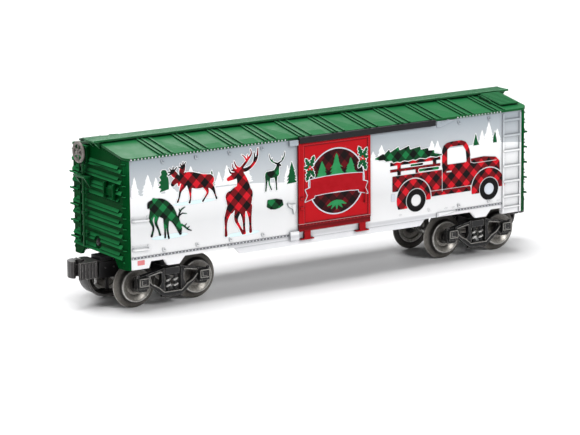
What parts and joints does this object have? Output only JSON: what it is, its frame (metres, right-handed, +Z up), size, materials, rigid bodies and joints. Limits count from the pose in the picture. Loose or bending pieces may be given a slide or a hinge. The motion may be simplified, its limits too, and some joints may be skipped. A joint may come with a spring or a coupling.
{
  "type": "toy railroad boxcar",
  "caption": "Toy boxcar with sliding side doors, a gabled roof with running board, swivelling trucks with flanged wheels, and knuckle couplers.",
  "frame": {"origin": "under the centre of the car, level with the lowest point of the wheel flanges, 3 mm below the rail heads", "axes": "+X along the car towards the plain end, away from the brake wheel; -Y is the pictured side; +Z is up"},
  "size_m": [0.2668, 0.0576, 0.0808],
  "materials": {
    "side_print": "satin white moulded plastic, printed with a grey winter sky and plain coloured shapes",
    "green_shell": "satin green paint on moulded plastic",
    "red_door": "satin red moulded plastic",
    "black_plastic": "matt black plastic",
    "truck_casting": "charcoal blackened die casting",
    "coupler_metal": "dark grey die casting, slightly burnished",
    "steel": "plain pressed steel",
    "wheel_metal": "turned grey metal, darker in the dish",
    "grey_metal": "dull grey metal"
  },
  "bodies": {
    "car_body": {"near_side": "side_print", "far_side": "side_print", "brake_end": "green_shell", "plain_end": "green_shell", "roof": "green_shell", "running_board": "green_shell", "near_roof_walk": "green_shell", "far_roof_walk": "green_shell", "underframe": "black_plastic", "brake_kingpin": "steel", "plain_kingpin": "steel", "near_door_track": "black_plastic", "far_door_track": "black_plastic", "brake_wheel": "grey_metal", "brake_shaft": "green_shell", "brake_step": "green_shell"},
    "near_door": {"near_door": "red_door"},
    "far_door": {"far_door": "red_door"},
    "brake_truck": {"brake_truck_bolster": "truck_casting", "brake_truck_near_frame": "truck_casting", "brake_truck_far_frame": "truck_casting", "brake_truck_drawbar": "truck_casting", "brake_coupler_head": "coupler_metal", "brake_uncoupling_plate": "steel"},
    "brake_knuckle": {"brake_knuckle": "coupler_metal"},
    "plain_truck": {"plain_truck_bolster": "truck_casting", "plain_truck_near_frame": "truck_casting", "plain_truck_far_frame": "truck_casting", "plain_truck_drawbar": "truck_casting", "plain_coupler_head": "coupler_metal", "plain_uncoupling_plate": "steel"},
    "plain_knuckle": {"plain_knuckle": "coupler_metal"},
    "wheelset_1": {"axle_1": "steel", "wheels_1": "wheel_metal"},
    "wheelset_2": {"axle_2": "steel", "wheels_2": "wheel_metal"},
    "wheelset_3": {"axle_3": "steel", "wheels_3": "wheel_metal"},
    "wheelset_4": {"axle_4": "steel", "wheels_4": "wheel_metal"}
  },
  "joints": [
    {"name": "near_door_slide", "type": "slide", "parent": "car_body", "child": "near_door", "axis": [1, 0, 0], "range_m": [0, 0.04]},
    {"name": "far_door_slide", "type": "slide", "parent": "car_body", "child": "far_door", "axis": [-1, 0, 0], "range_m": [0, 0.04]},
    {"name": "brake_truck_swivel", "type": "hinge", "parent": "car_body", "child": "brake_truck", "pos_m": [-0.0902, 0, 0.0225], "axis": [0, 0, 1], "range_deg": [-15, 15]},
    {"name": "plain_truck_swivel", "type": "hinge", "parent": "car_body", "child": "plain_truck", "pos_m": [0.0902, 0, 0.0225], "axis": [0, 0, 1], "range_deg": [-15, 15]},
    {"name": "brake_knuckle_hinge", "type": "hinge", "parent": "brake_truck", "child": "brake_knuckle", "pos_m": [-0.1263, 0.0039, 0.0192], "axis": [0, 0, -1], "range_deg": [0, 35]},
    {"name": "plain_knuckle_hinge", "type": "hinge", "parent": "plain_truck", "child": "plain_knuckle", "pos_m": [0.1263, -0.0039, 0.0192], "axis": [0, 0, -1], "range_deg": [0, 35]},
    {"name": "wheelset_1_spin", "type": "hinge", "parent": "brake_truck", "child": "wheelset_1", "pos_m": [-0.1069, 0, 0.01135], "axis": [0, 1, 0], "continuous": true},
    {"name": "wheelset_2_spin", "type": "hinge", "parent": "brake_truck", "child": "wheelset_2", "pos_m": [-0.0735, 0, 0.01135], "axis": [0, 1, 0], "continuous": true},
    {"name": "wheelset_3_spin", "type": "hinge", "parent": "plain_truck", "child": "wheelset_3", "pos_m": [0.0735, 0, 0.01135], "axis": [0, 1, 0], "continuous": true},
    {"name": "wheelset_4_spin", "type": "hinge", "parent": "plain_truck", "child": "wheelset_4", "pos_m": [0.1069, 0, 0.01135], "axis": [0, 1, 0], "continuous": true}
  ]
}
